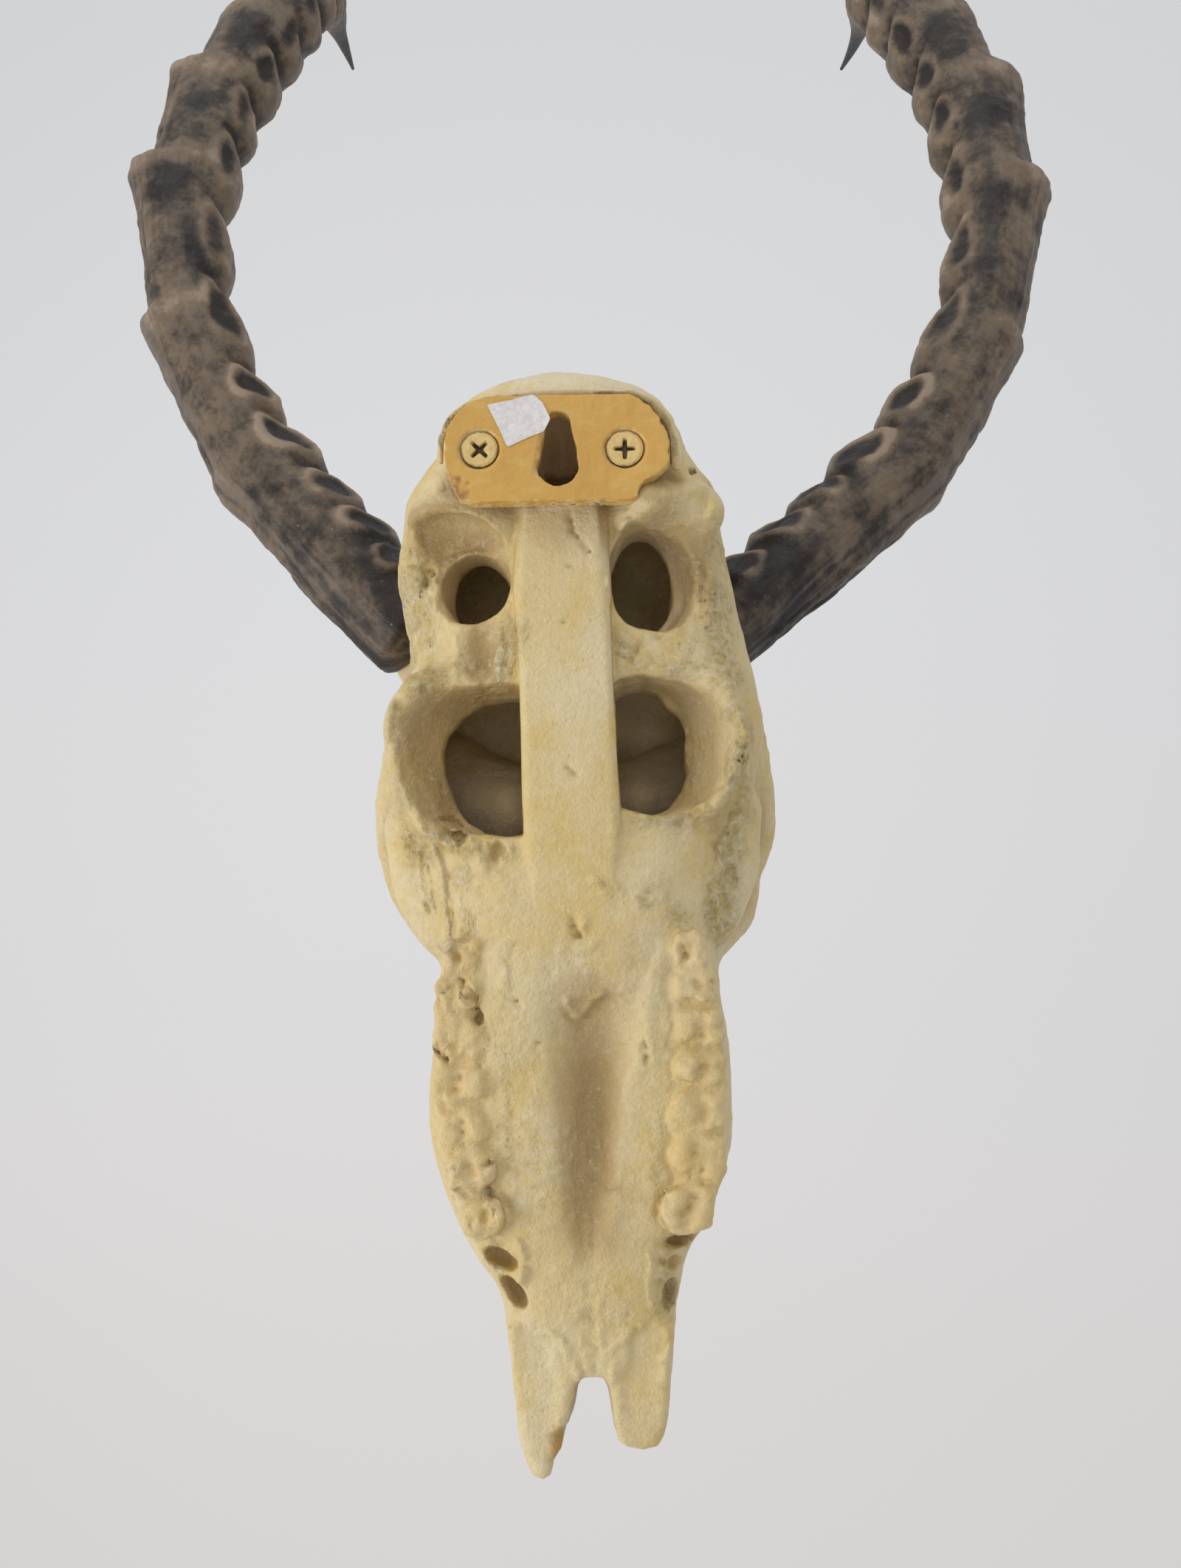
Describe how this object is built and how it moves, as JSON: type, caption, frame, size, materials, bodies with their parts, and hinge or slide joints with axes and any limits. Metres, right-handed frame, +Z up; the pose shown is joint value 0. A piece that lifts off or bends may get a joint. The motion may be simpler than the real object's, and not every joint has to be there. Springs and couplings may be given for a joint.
{
  "type": "antelope skull wall mount",
  "caption": "Cast antelope skull with curved ringed horns and open back, screwed to a keyhole hanger plate so that it hangs flat on a wall.",
  "frame": {"origin": "on the back of the hanger plate, just above the top of its keyhole", "axes": "+Z up as it hangs, +Y towards the wall, the face of the skull looks towards -Y"},
  "size_m": [0.2705, 0.1873, 0.4573],
  "materials": {
    "bone_resin": "satin ivory paint with yellow and brown stain in the pits",
    "horn_resin": "charcoal, dry-brushed taupe on the ridges",
    "ochre_paint": "satin ochre paint, chipped at the edges",
    "painted_screw": "satin ochre paint, dark in the recess",
    "label_paper": "matte, torn and blank"
  },
  "bodies": {
    "root": {"skull": "bone_resin", "horn_left": "horn_resin", "horn_right": "horn_resin", "hanger_plate": "ochre_paint", "screw_left": "painted_screw", "screw_right": "painted_screw"}
  },
  "joints": []
}
